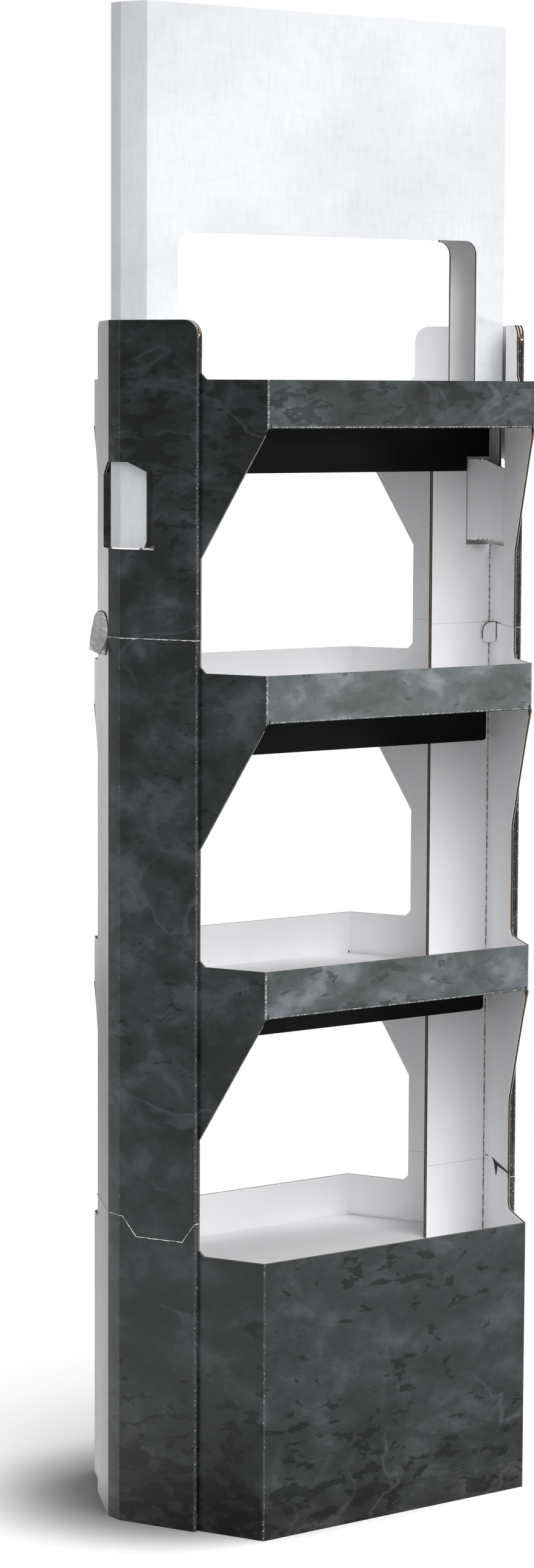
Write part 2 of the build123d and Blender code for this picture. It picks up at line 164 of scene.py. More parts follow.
def slate_colour(nodes, links):
    """Layered stone: patches with crisp edges, dark chips in clusters near the top and the ground,
    and faint veins. It is plainer on the base. The front and rear faces are lighter by height, most
    at the middle tray's lip: partly lighter print and partly painted sheen."""
    height = calc(nodes, links, "DIVIDE", axis_of(nodes, links, "Z"), ramp_height)
    space = object_space(nodes, links, (1.0, 1.0, 1.6))
    drift = noise(nodes, links, space, scale=2.6, detail=2.0)
    patches = noise(nodes, links, space, scale=12.0, detail=7.0, roughness=0.58, distortion=0.3)
    tones = [
        (0.34, srgb(26, 29, 29)),
        (0.425, srgb(31, 35, 35)),
        (0.435, srgb(36, 41, 41)),
        (0.49, srgb(39, 44, 44)),
        (0.50, srgb(45, 50, 51)),
        (0.56, srgb(49, 54, 56)),
        (0.57, srgb(58, 62, 65)),
        (0.68, srgb(76, 80, 84)),
    ]
    colour = ramp(nodes, links, patches, tones)
    plain = [
        (0.0, grey(0.1)),
        (0.03, grey(0.2)),
        (0.08, grey(0.5)),
        (0.2, grey(0.45)),
        (0.26, grey(0.0)),
    ]
    colour = mix(nodes, links, ramp(nodes, links, height, plain), colour, srgb(48, 52, 53))
    fine = noise(nodes, links, space, scale=44.0, detail=6.0, roughness=0.65)
    mottle = ramp(nodes, links, fine, [(0.36, srgb(216, 217, 218)), (0.58, srgb(255, 255, 255))])
    colour = mix(nodes, links, 0.8, colour, mottle, "MULTIPLY")
    wide = object_space(nodes, links, (1.0, 1.0, 2.2))
    shapes = noise(nodes, links, wide, scale=30.0, detail=3.5, roughness=0.55, distortion=0.4)
    crowd = [
        (0.0, grey(0.95)),
        (0.025, grey(0.92)),
        (0.055, grey(0.5)),
        (0.1, grey(0.05)),
        (0.2, grey(0.05)),
        (0.3, grey(0.2)),
        (0.56, grey(0.2)),
        (0.66, grey(0.85)),
        (0.8, grey(1.0)),
    ]
    # what the height and the slow drift add to the chance of a dark chip
    crowding, fewest = 0.2, -0.06
    clusters = 0.5
    crowd_here = ramp(nodes, links, height, crowd)
    crowded = calc(nodes, links, "MULTIPLY_ADD", crowd_here, crowding, fewest)
    patchy = calc(nodes, links, "MULTIPLY_ADD", drift, clusters, -clusters / 2)
    chance = calc(nodes, links, "SUBTRACT", calc(nodes, links, "ADD", shapes, patchy), crowded)
    dark = [
        (0.345, srgb(150, 152, 152)),
        (0.36, srgb(190, 192, 192)),
        (0.375, srgb(255, 255, 255)),
    ]
    colour = mix(nodes, links, 1.0, colour, ramp(nodes, links, chance, dark), "MULTIPLY")
    lines = noise(nodes, links, space, scale=5.5, detail=5.0, distortion=0.5)
    vein_stops = [(0.482, grey(0.0)), (0.5, grey(0.55)), (0.518, grey(0.0))]
    here = ramp(nodes, links, drift, [(0.48, grey(0.0)), (0.58, grey(1.0))])
    amount = mix(nodes, links, 1.0, ramp(nodes, links, lines, vein_stops), here, "MULTIPLY")
    colour = mix(nodes, links, amount, colour, srgb(80, 84, 90))
    tint = [
        (0.0, srgb(206, 196, 190)),
        (0.07, srgb(238, 235, 233)),
        (0.2, srgb(255, 255, 255)),
        (0.55, srgb(246, 248, 248)),
        (0.7, srgb(200, 203, 203)),
        (1.0, srgb(200, 203, 203)),
    ]
    colour = mix(nodes, links, 1.0, colour, ramp(nodes, links, height, tint), "MULTIPLY")
    # front and rear faces lighter by height, most at the middle tray's lip: partly lighter print,
    # partly painted sheen
    print_and_sheen_by_height = [
        (0.0, grey(0.47)),
        (0.2, grey(0.52)),
        (0.25, grey(0.65)),
        (0.46, grey(1.0)),
        (0.68, grey(0.75)),
    ]
    lighter = ramp(nodes, links, height, print_and_sheen_by_height)
    extra = calc(nodes, links, "MULTIPLY_ADD", lighter, front_print_and_sheen_gain, -1.0)
    gain = calc(nodes, links, "MULTIPLY_ADD", extra, on_front(nodes, links), 1.0)
    return mix(nodes, links, 1.0, colour, gain, "MULTIPLY")


def slate_print():
    """The outside of the stand: dark slate print under a thin satin varnish, with painted sheen in
    the colour of the front and rear faces.
    """
    material, nodes, links, shader = new_material("slate print", roughness=0.34, specular=0.3)
    links.new(slate_colour(nodes, links), shader.inputs["Base Color"])
    ribs = object_space(nodes, links, (1.0, 1.0, 0.05))
    uneven = noise(nodes, links, ribs, scale=160.0, detail=2.0)
    relief(nodes, links, shader, uneven, distance=0.00015)
    return material


def cracked_crease():
    """A printed fold. On the trays' outer folds the ink is cracked to an almost whole white line.
    On the others it is only worn lighter, with short nicks. The lighter tone along the folds is
    partly real rubbing and partly a painted highlight on the rounded fold."""
    material, nodes, links, shader = new_material("cracked crease", roughness=0.5, specular=0.5)
    even = object_space(nodes, links)
    nicks = noise(nodes, links, even, scale=420.0, detail=4.0, roughness=0.7)
    raised = calc(nodes, links, "GREATER_THAN", axis_of(nodes, links, "Z"), lowest_lip)
    worn = calc(nodes, links, "MULTIPLY", on_front(nodes, links), raised)
    # the folds are lighter, most on the trays' outer folds: partly real rubbing, partly a painted
    # highlight on the rounded fold
    more_nicks, more_rub_and_sheen, least_rub_and_sheen = 0.09, 0.18, 0.07
    more = calc(nodes, links, "MULTIPLY_ADD", worn, more_nicks, nicks)
    bare = ramp(nodes, links, more, [(0.59, grey(0.0)), (0.66, grey(1.0))])
    rub_and_sheen = calc(nodes, links, "MULTIPLY_ADD", worn, more_rub_and_sheen, least_rub_and_sheen)
    rubbed_and_sheen = mix(nodes, links, rub_and_sheen, slate_colour(nodes, links), srgb(140, 144, 147))
    colour = mix(nodes, links, bare, rubbed_and_sheen, srgb(196, 196, 195))
    links.new(colour, shader.inputs["Base Color"])
    relief(nodes, links, shader, nicks, distance=0.0003)
    return material


def white_liner():
    """The inside of the sheets: bleached liner, with the flutes just showing through. In the
    inner crease of each column it has a dotted dark crack."""
    material, nodes, links, shader = new_material("white liner", roughness=0.62, specular=0.3)
    cloud = noise(nodes, links, object_space(nodes, links, (1.0, 1.0, 0.5)), scale=9.0, detail=4.0)
    colour = ramp(nodes, links, cloud, [(0.3, srgb(243, 243, 245)), (0.7, srgb(249, 249, 251))])
    past = calc(nodes, links, "ABSOLUTE", axis_of(nodes, links, "X"))
    aside = calc(nodes, links, "SUBTRACT", past, inner_corner[0])
    behind = calc(nodes, links, "SUBTRACT", axis_of(nodes, links, "Y"), inner_corner[1])
    squares = [
        calc(nodes, links, "POWER", calc(nodes, links, "ABSOLUTE", apart), 2.0)
        for apart in (aside, behind)
    ]
    from_corner = calc(nodes, links, "SQRT", calc(nodes, links, "ADD", *squares))
    in_crack = calc(nodes, links, "LESS_THAN", from_corner, crack_width)
    dots = noise(nodes, links, object_space(nodes, links, (0.1, 0.1, 1.0)), scale=140.0, detail=4.0)
    dotted = ramp(nodes, links, dots, [(0.42, grey(0.25)), (0.56, grey(0.85))])
    amount = calc(nodes, links, "MULTIPLY", in_crack, dotted)
    cracked = mix(nodes, links, amount, colour, srgb(92, 82, 74))
    links.new(cracked, shader.inputs["Base Color"])
    ribs = object_space(nodes, links, (1.0, 1.0, 0.02))
    uneven = noise(nodes, links, ribs, scale=150.0, detail=1.0)
    relief(nodes, links, shader, uneven, distance=0.0002)
    return material


def kraft_core():
    """Brown fluting paper, seen where the board is cut."""
    material, nodes, links, shader = new_material("kraft core", roughness=0.9, specular=0.1)
    fibre = noise(nodes, links, object_space(nodes, links), scale=900.0, detail=3.0)
    colour = ramp(nodes, links, fibre, [(0.3, srgb(66, 49, 40)), (0.7, srgb(118, 94, 76))])
    links.new(colour, shader.inputs["Base Color"])
    relief(nodes, links, shader, fibre, distance=0.0003)
    return material


def cut_paper():
    """The cut edges of the two outer papers. They are whiter where the cut crosses the flutes."""
    material, nodes, links, shader = new_material("cut paper", roughness=0.8, specular=0.2)
    fibre = noise(nodes, links, object_space(nodes, links), scale=700.0, detail=3.0)
    upright = ramp(nodes, links, fibre, [(0.35, srgb(120, 106, 94)), (0.6, srgb(196, 190, 182))])
    crossing = ramp(nodes, links, fibre, [(0.35, srgb(196, 192, 186)), (0.55, srgb(240, 239, 236))])
    facing = nodes.new("ShaderNodeSeparateXYZ")
    links.new(nodes.new("ShaderNodeTexCoord").outputs["Normal"], facing.inputs["Vector"])
    tilted = calc(nodes, links, "ABSOLUTE", facing.outputs["Z"])
    across = calc(nodes, links, "GREATER_THAN", tilted, crossing_tilt)
    links.new(mix(nodes, links, across, upright, crossing), shader.inputs["Base Color"])
    return material


def solid_black():
    """Solid black, on the flanges under the trays and the undersides of their floors, and as the
    painted shade in the lower right joint's gap.
    """
    material, nodes, links, shader = new_material("solid black", roughness=0.6, specular=0.12)
    cloud = noise(nodes, links, object_space(nodes, links), scale=14.0, detail=3.0)
    colour = ramp(nodes, links, cloud, [(0.3, srgb(10, 11, 11)), (0.7, srgb(18, 19, 19))])
    links.new(colour, shader.inputs["Base Color"])
    return material


def is_cut(bm, tree, fold_step=math.radians(40), short_edge=0.008):
    """The faces where the board is cut. Behind any other face lies the board's far side.
    Faces that meet in a long shallow edge are the facets of one fold, and are judged together."""
    just_under = 1e-5
    reach_through = 1.2 * board
    opposite = -0.95
    group = list(range(len(bm.faces)))

    def root(i):
        while group[i] != i:
            group[i] = group[group[i]]
            i = group[i]
        return i

    for edge in bm.edges:
        if edge.calc_length() > short_edge and edge.calc_face_angle(math.pi) < fold_step:
            a, b = (root(face.index) for face in edge.link_faces)
            group[a] = b
    depth = {}
    for face in bm.faces:
        start = face.calc_center_median() - face.normal * just_under
        far_normal = tree.ray_cast(start, -face.normal, reach_through)[1]
        thin = far_normal is not None and far_normal.dot(face.normal) < opposite
        key = root(face.index)
        depth[key] = depth.get(key, 0.0) + (-face.calc_area() if thin else face.calc_area())
    return {face.index for face in bm.faces if depth[root(face.index)] > 0}


def mark_sides(bm, outward, sharp_turn=math.radians(70)):
    """Each face's material index: the sheet's printed side, its inner side, or a cut edge.
    The side that reaches furthest outward is the printed one."""
    cut = is_cut(bm, BVHTree.FromBMesh(bm))
    left = {face.index for face in bm.faces} - cut
    for i in cut:
        bm.faces[i].material_index = CORE
    sides = []
    while left:
        queue = [left.pop()]
        side = set(queue)
        while queue:
            for edge in bm.faces[queue.pop()].edges:
                turned_out = edge.is_convex and edge.calc_face_angle(0) > sharp_turn
                if turned_out or edge.calc_length() < board:
                    continue
                for face in edge.link_faces:
                    if face.index in left:
                        left.remove(face.index)
                        side.add(face.index)
                        queue.append(face.index)
        sides.append(side)
    reach = [max(bm.faces[i].calc_center_median().dot(outward) for i in side) for side in sides]
    printed = sides[reach.index(max(reach))]
    for side in sides:
        for i in side:
            bm.faces[i].material_index = PRINT if side is printed else LINER


def opened_sheet(name, node, outward):
    """A node's sheet as board: sorted faces, creases, and cut edges with the core set back.
    Gives the object and the outline of its printed side, with both directions at each point."""
    merge_distance = 2e-5
    faces_down, flange_facing = -0.7, 0.5
    flat_enough, sharp_edge = math.radians(1), math.radians(35)
    bm = bmesh.new()
    bm.from_mesh(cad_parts[node].data)
    bmesh.ops.remove_doubles(bm, verts=bm.verts[:], dist=merge_distance)
    bm.normal_update()
    bm.faces.ensure_lookup_table()
    bm.faces.index_update()
    mark_sides(bm, Vector(outward))
    for face in bm.faces:
        inmost = abs(face.calc_center_median().y) < flange_reach
        on_flange = inmost and face.normal.y * outward[1] > flange_facing
        if face.material_index == PRINT and (on_flange or face.normal.z < faces_down):
            face.material_index = BLACK
    bmesh.ops.dissolve_limit(
        bm, angle_limit=flat_enough, verts=bm.verts[:], edges=bm.edges[:], delimit={"MATERIAL"}
    )
    for face in bm.faces:
        longest = max(edge.calc_length() for edge in face.edges)
        if face.material_index == PRINT and face.calc_area() / longest < crease_width:
            face.material_index = CREASE
    outline = []
    for edge in bm.edges:
        kinds = [face.material_index for face in edge.link_faces]
        if kinds.count(CORE) == 1 and LINER not in kinds:
            cut, printed = sorted(edge.link_faces, key=lambda face: face.material_index != CORE)
            ends = [vert.co.copy() for vert in edge.verts]
            outline.append((ends, -printed.normal, cut.normal.copy()))
    cut = [face for face in bm.faces if face.material_index == CORE]
    rim = bmesh.ops.inset_region(bm, faces=cut, thickness=liner_paper, use_boundary=True)
    for face in rim["faces"]:
        face.material_index = PAPER
    cut = [face for face in bm.faces if face.material_index == CORE]
    bmesh.ops.inset_region(
        bm, faces=cut, thickness=liner_paper / 10, depth=-core_recess, use_boundary=True
    )
    mesh = bpy.data.meshes.new(name)
    bm.to_mesh(mesh)
    bm.free()
    mesh.shade_smooth()
    mesh.set_sharp_from_angle(angle=sharp_edge)
    piece = bpy.data.objects.new(name, mesh)
    scene.collection.objects.link(piece)
    return piece, outline


def dress(piece, materials):
    """The piece's materials, in the order of the face indices."""
    for material in materials:
        piece.data.materials.append(material)


slate = slate_print()
crease = cracked_crease()
liner = white_liner()
core = kraft_core()
paper = cut_paper()
black = solid_black()
outlines = {}
storeys = ("base", "middle", "upper")
for storey in storeys:
    for face, outward in (("front", (0, -1, 0)), ("rear", (0, 1, 0))):
        node = f"{storey}_frame_{face}"
        piece, outline = opened_sheet(f"{node}_board", node, outward)
        dress(piece, [slate, liner, core, crease, paper, black])
        outlines[node] = outline
        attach(piece, "root")
        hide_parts(node)

# Sleeves. Six sheets of the same board, three at each side, that wrap the tips of the frames.
# Both free edges are hemmed, and the upper pair has a band cut at the tip and pushed in.

for storey in storeys:
    for side, outward in (("right", (1, 0, 0)), ("left", (-1, 0, 0))):
        node = f"{storey}_sleeve_{side}"
        piece, outline = opened_sheet(f"{node}_board", node, outward)
        dress(piece, [slate, liner, core, crease, paper, black])
        outlines[node] = outline
        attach(piece, "root")
        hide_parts(node)

# Riser. One plain white sheet of the same board, folded into a table: the lowest tray's floor, on
# two legs. It stands loose inside the base, held by the walls round it.

piece, outline = opened_sheet("base_riser_board", "base_riser", (0, 0, 1))
dress(piece, [liner, liner, core, liner, paper, liner])
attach(piece, "root")
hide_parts("base_riser")

# Header card. One sheet printed white with a faint grey clouding, folded round both tips.
# It stands on the upper tray, and its tongues go on down inside the sleeves.


def header_print():
    """White print with faint plaster clouding and a fine woven grain."""
    material, nodes, links, shader = new_material("header print", roughness=0.5, specular=0.35)
    even = object_space(nodes, links)
    clouds = noise(nodes, links, even, scale=4.5, detail=8.0, roughness=0.62)
    colour = ramp(nodes, links, clouds, [(0.36, srgb(221, 223, 226)), (0.60, srgb(233, 235, 238))])
    weave_scale = 190.0
    upright = object_space(nodes, links, (1.0, 1.0, 0.2))
    threads = noise(nodes, links, upright, weave_scale, detail=4.0)
    level = object_space(nodes, links, (0.2, 0.2, 1.0))
    across = noise(nodes, links, level, weave_scale, detail=4.0)
    for strands, darkest in ((threads, 250), (across, 252)):
        weave = [(0.34, srgb(darkest, darkest, darkest + 1)), (0.5, srgb(255, 255, 255))]
        shade = ramp(nodes, links, strands, weave)
        colour = mix(nodes, links, 1.0, colour, shade, "MULTIPLY")
    links.new(colour, shader.inputs["Base Color"])
    relief(nodes, links, shader, threads, distance=0.00005)
    return material


def header_liner_with_painted_shade():
    """The header's inner paper: greyer than the other liners, as painted shade for the shade behind
    the front card, and a little uneven.
    """
    material, nodes, links, shader = new_material("header liner with painted shade", roughness=0.7, specular=0.3)
    even = object_space(nodes, links, (1.0, 1.0, 0.6))
    clouds = noise(nodes, links, even, scale=14.0, detail=7.0, roughness=0.65)
    colour = ramp(nodes, links, clouds, [(0.36, srgb(219, 219, 220)), (0.62, srgb(232, 232, 233))])
    links.new(colour, shader.inputs["Base Color"])
    return material


header_white = header_print()
piece, outline = opened_sheet("header_card_board", "header_card", (0, -1, 0))
dress(piece, [header_white, header_liner_with_painted_shade(), core, header_white, paper, header_white])
outlines["header_card"] = outline
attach(piece, "root")
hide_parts("header_card")

# Cut edges. Between its two papers the board shows its fluting, a wavy brown paper, wherever it is
# cut across or aslant. Where it is cut along the flutes, only the crushed core shows. At the two
# joints the sleeves' cut paper is frayed.

flute_pitch = 0.0064
flute_step = 0.0008
flute_height = board - 2 * liner_paper
flute_paper = 0.0003
flute_depth = 0.0011
flute_recess = 0.00015  # how far the fluting lies below the edge of the papers
steep = 0.95            # an edge steeper than this is cut along the flutes
upright_sheet = 0.7     # a sheet whose face points up or down by less than this stands upright
grounded = 0.001        # edges nearer to the ground than this aren't seen
fray_step = 0.0011
fray_width = 0.0016
fray_lift = 0.0005
fray_recess = 0.0004    # how far the fringe starts above the sleeve's lower edge
fray_scale = 170.0
fray_seed = 5.0
hanging = -0.1          # a cut that faces down by more than this can be frayed
joint_reach = 0.03      # the tongues reach no further than this from their joint


def edge_line(name, outline):
    """The cut edges as a mesh of edges, with the two directions at each point."""
    points, pairs, into, outward = {}, [], [], []
    for ends, inwards, away in outline:
        pair = []
        for end in ends:
            key = tuple(round(c, 5) for c in end)
            if key not in points:
                points[key] = len(points)
                into.append(Vector())
                outward.append(Vector())
            into[points[key]] += inwards
            outward[points[key]] += away
            pair.append(points[key])
        if pair[0] != pair[1]:
            pairs.append(pair)
    mesh = bpy.data.meshes.new(name)
    mesh.from_pydata(list(points), pairs, [])
    for label, directions in (("into", into), ("outward", outward)):
        layer = mesh.attributes.new(label, "FLOAT_VECTOR", "POINT")
        layer.data.foreach_set("vector", [c for d in directions for c in d.normalized()])
    line = bpy.data.objects.new(name, mesh)
    scene.collection.objects.link(line)
    return line


def new_tree(name, sizes):
    """An empty geometry tree with an input for each size and one for the material. Gives the
    tree, its input and output nodes."""
    tree = bpy.data.node_groups.new(name, "GeometryNodeTree")
    tree.interface.new_socket("Geometry", in_out="INPUT", socket_type="NodeSocketGeometry")
    for label, value in sizes.items():
        socket = tree.interface.new_socket(label, in_out="INPUT", socket_type="NodeSocketFloat")
        socket.default_value = value
    tree.interface.new_socket("Material", in_out="INPUT", socket_type="NodeSocketMaterial")
    tree.interface.new_socket("Geometry", in_out="OUTPUT", socket_type="NodeSocketGeometry")
    return tree, tree.nodes.new("NodeGroupInput"), tree.nodes.new("NodeGroupOutput")


def scaled(tree, vector, factor):
    """A direction times a number or a socket."""
    node = tree.nodes.new("ShaderNodeVectorMath")
    node.operation = "SCALE"
    tree.links.new(vector, node.inputs[0])
    if isinstance(factor, bpy.types.NodeSocket):
        tree.links.new(factor, node.inputs["Scale"])
    else:
        node.inputs["Scale"].default_value = factor
    return node.outputs["Vector"]


def added(tree, a, b):
    """The sum of two vectors."""
    node = tree.nodes.new("ShaderNodeVectorMath")
    node.operation = "ADD"
    tree.links.new(a, node.inputs[0])
    tree.links.new(b, node.inputs[1])
    return node.outputs["Vector"]


def direction(tree, label):
    """A direction kept on the points."""
    node = tree.nodes.new("GeometryNodeInputNamedAttribute")
    node.data_type = "FLOAT_VECTOR"
    node.inputs["Name"].default_value = label
    return node.outputs["Attribute"]


def stepped_line(tree, source, step):
    """The edges as curves with a point at every step."""
    curve = tree.nodes.new("GeometryNodeMeshToCurve")
    tree.links.new(source.outputs["Geometry"], curve.inputs["Mesh"])
    resample = tree.nodes.new("GeometryNodeResampleCurve")
    resample.mode = "LENGTH"
    tree.links.new(curve.outputs["Curve"], resample.inputs["Curve"])
    tree.links.new(step, resample.inputs["Length"])
    return resample.outputs["Curve"]


def moved(tree, geometry, offset):
    """The geometry with its points moved by an offset."""
    node = tree.nodes.new("GeometryNodeSetPosition")
    tree.links.new(geometry, node.inputs["Geometry"])
    tree.links.new(offset, node.inputs["Offset"])
    return node.outputs["Geometry"]


def swept(tree, edges, offset):
    """A strip between the edges and the same edges moved by an offset."""
    node = tree.nodes.new("GeometryNodeExtrudeMesh")
    node.mode = "EDGES"
    tree.links.new(edges, node.inputs["Mesh"])
    tree.links.new(offset, node.inputs["Offset"])
    node.inputs["Offset Scale"].default_value = 1.0
    return node.outputs["Mesh"]


def as_edges(tree, curve):
    """The curves as bare mesh edges."""
    node = tree.nodes.new("GeometryNodeCurveToMesh")
    tree.links.new(curve, node.inputs["Curve"])
    return node.outputs["Mesh"]


def ended(tree, strips, source, result):
    """The strips joined and realised, with the material set."""
    join = tree.nodes.new("GeometryNodeJoinGeometry")
    for strip in strips:
        tree.links.new(strip, join.inputs["Geometry"])
    realise = tree.nodes.new("GeometryNodeRealizeInstances")
    tree.links.new(join.outputs["Geometry"], realise.inputs["Geometry"])
    finish = tree.nodes.new("GeometryNodeSetMaterial")
    tree.links.new(realise.outputs["Geometry"], finish.inputs["Geometry"])
    tree.links.new(source.outputs["Material"], finish.inputs["Material"])
    tree.links.new(finish.outputs["Geometry"], result.inputs["Geometry"])


def fluting_tree():
    """A wavy strip of paper between the two outer papers, along every cut edge."""
    tree, source, result = new_tree("corrugated medium", {
        "Pitch": flute_pitch,
        "Step": flute_step,
        "Height": flute_height,
        "Outer Paper": liner_paper,
        "Paper": flute_paper,
        "Depth": flute_depth,
        "Recess": flute_recess,
    })
    value = source.outputs
    line = stepped_line(tree, source, value["Step"])
    tangent = tree.nodes.new("GeometryNodeInputTangent")
    split = tree.nodes.new("ShaderNodeSeparateXYZ")
    tree.links.new(tangent.outputs["Tangent"], split.inputs["Vector"])
    nodes, links = tree.nodes, tree.links
    steepness = calc(nodes, links, "POWER", calc(nodes, links, "ABSOLUTE", split.outputs["Z"]), 2.0)
    flatness = calc(nodes, links, "MAXIMUM", calc(nodes, links, "SUBTRACT", 1.0, steepness), 0.0)
    run = calc(nodes, links, "MULTIPLY", calc(nodes, links, "SQRT", flatness), value["Step"])
    spline = nodes.new("GeometryNodeCurveOfPoint")
    total = nodes.new("GeometryNodeAccumulateField")
    links.new(run, total.inputs["Value"])
    links.new(spline.outputs["Curve Index"], total.inputs["Group ID"])
    turns = calc(nodes, links, "DIVIDE", total.outputs["Leading"], value["Pitch"])
    wave = calc(nodes, links, "SINE", calc(nodes, links, "MULTIPLY", turns, 2 * math.pi))
    half = calc(nodes, links, "DIVIDE", value["Height"], 2.0)
    swing = calc(nodes, links, "SUBTRACT", half, value["Paper"])
    middle = calc(nodes, links, "ADD", value["Outer Paper"], half)
    depth_in = calc(nodes, links, "ADD", middle, calc(nodes, links, "MULTIPLY", wave, swing))
    into = direction(tree, "into")
    outward = direction(tree, "outward")
    sunk = calc(nodes, links, "MULTIPLY", value["Recess"], -1.0)
    place = added(tree, scaled(tree, into, depth_in), scaled(tree, outward, sunk))
    near = as_edges(tree, moved(tree, line, place))
    thickness = scaled(tree, into, value["Paper"])
    back = scaled(tree, outward, calc(nodes, links, "MULTIPLY", value["Depth"], -1.0))
    strips = [swept(tree, near, thickness), swept(tree, near, back)]
    strips.append(swept(tree, moved(tree, near, thickness), back))
    ended(tree, strips, source, result)
    return tree


def frayed_tree():
    """A torn fringe of paper over a joint, of uneven width, standing a little off the board."""
    tree, source, result = new_tree("frayed paper", {
        "Step": fray_step,
        "Width": fray_width,
        "Lift": fray_lift,
        "Recess": fray_recess,
        "Seed": fray_seed,
    })
    value = source.outputs
    line = stepped_line(tree, source, value["Step"])
    tear = tree.nodes.new("ShaderNodeTexNoise")
    tear.noise_dimensions = "4D"
    tear.inputs["Scale"].default_value = fray_scale
    tear.inputs["Detail"].default_value = 3.0
    tree.links.new(value["Seed"], tear.inputs["W"])
    nodes, links = tree.nodes, tree.links
    uneven = calc(nodes, links, "MULTIPLY_ADD", tear.outputs["Fac"], 2.0, -0.5)
    into = direction(tree, "into")
    outward = direction(tree, "outward")
    off = calc(nodes, links, "MULTIPLY", value["Lift"], -1.0)
    sunk = calc(nodes, links, "MULTIPLY", value["Recess"], -1.0)
    base = added(tree, scaled(tree, into, off), scaled(tree, outward, sunk))
    near = as_edges(tree, moved(tree, line, base))
    reach = scaled(tree, outward, calc(nodes, links, "MULTIPLY", value["Width"], uneven))
    curl = scaled(tree, into, calc(nodes, links, "MULTIPLY", off, uneven))
    ended(tree, [swept(tree, near, added(tree, reach, curl))], source, result)
    return tree


def along_edges(name, outline, tree, material):
    """The tree's result along these cut edges, in this material, as a plain mesh."""
    line = edge_line(f"{name}_line", outline)
    grown = line.modifiers.new("edges", "NODES")
    grown.node_group = tree
    sockets = {s.name: s.identifier for s in tree.interface.items_tree if s.in_out == "INPUT"}
    grown[sockets["Material"]] = material
    graph = bpy.context.evaluated_depsgraph_get()
    mesh = bpy.data.meshes.new_from_object(line.evaluated_get(graph))
    mesh.name = name
    bpy.data.objects.remove(line)
    for layer in [a for a in mesh.attributes if a.name in ("into", "outward")]:
        mesh.attributes.remove(layer)
    piece = bpy.data.objects.new(name, mesh)
    scene.collection.objects.link(piece)
    mesh.shade_smooth()
    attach(piece, "root")
    return piece


def level_cut(ends):
    """Whether the edge lies across the flutes, or aslant."""
    run = ends[1] - ends[0]
    return run.length > 0 and abs(run.z) / run.length < steep


def torn_paper():
    """The white fibres of torn paper."""
    material, nodes, links, shader = new_material("torn paper", roughness=0.9, specular=0.1)
    fibre = noise(nodes, links, object_space(nodes, links), scale=600.0, detail=3.0)
    colour = ramp(nodes, links, fibre, [(0.35, srgb(170, 168, 164)), (0.55, srgb(232, 231, 228))])
    links.new(colour, shader.inputs["Base Color"])
    return material


torn_white = torn_paper()
fluting = fluting_tree()
frayed = frayed_tree()
for sheet, outline in outlines.items():
    seen_cuts = []
    for ends, inwards, away in outline:
        lifted = min(end.z for end in ends) > grounded
        if lifted and level_cut(ends) and abs(inwards.z) < upright_sheet:
            seen_cuts.append((ends, inwards, away))
    if seen_cuts:
        piece = along_edges(f"{sheet}_fluting", seen_cuts, fluting, core)

# the sleeves' lower edges hang over the joints
for sheet, outline in outlines.items():
    if "sleeve" in sheet and not sheet.startswith("base"):
        foot = min(end.z for ends, inwards, away in outline for end in ends)
        torn = [
            (ends, inwards, away) for ends, inwards, away in outline
            if away.z < hanging and max(end.z for end in ends) < foot + joint_reach
        ]
        piece = along_edges(f"{sheet}_torn_edge", torn, frayed, torn_white)

# Wear. A flap of the upper left sleeve stands off at the joint and bares a brown crease. A torn tab
# with a brown edge shows in the upper right joint. In the lower right joint a thin black strip is
# painted shade in a gap. Each is paper through rows of points.

flap_thickness = 0.001  # one outer paper and what it tore off
tab_thickness = 0.0012
crease_thickness = 0.0003
gap_shade_thickness = 0.0005
# where the back of each lies from its face
from_left_tip = (0.896, -0.443, 0)  # square to the upper left sleeve's rear chamfer, inwards
from_right_joint = (0.6, 0.6, 0)
from_gap_shade = (0.6, -0.2, 0)


def loose_paper(name, rows, thickness, away, materials):
    """Closed paper through rows of points. Its back lies away from the face, which has the first
    material. The back and the edges have the second."""
    bm = bmesh.new()
    offset = Vector(away) * thickness
    face = [[bm.verts.new(point) for point in row] for row in rows]
    back = [[bm.verts.new(Vector(point) + offset) for point in row] for row in rows]
    last, end = len(rows) - 1, len(rows[0]) - 1
    for i in range(last):
        for j in range(end):
            corners = ((i, j), (i + 1, j), (i + 1, j + 1), (i, j + 1))
            bm.faces.new([face[k][m] for k, m in corners])
            bm.faces.new([back[k][m] for k, m in reversed(corners)]).material_index = 1
    ring = [(i, 0) for i in range(last)] + [(last, j) for j in range(end)]
    ring += [(i, end) for i in range(last, 0, -1)] + [(0, j) for j in range(end, 0, -1)]
    for (i, j), (k, m) in zip(ring, ring[1:] + ring[:1]):
        bm.faces.new((face[i][j], back[i][j], back[k][m], face[k][m])).material_index = 1
    bmesh.ops.recalc_face_normals(bm, faces=bm.faces)
    mesh = bpy.data.meshes.new(name)
    bm.to_mesh(mesh)
    bm.free()
    for material in materials:
        mesh.materials.append(material)
    piece = bpy.data.objects.new(name, mesh)
    scene.collection.objects.link(piece)
    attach(piece, "root")


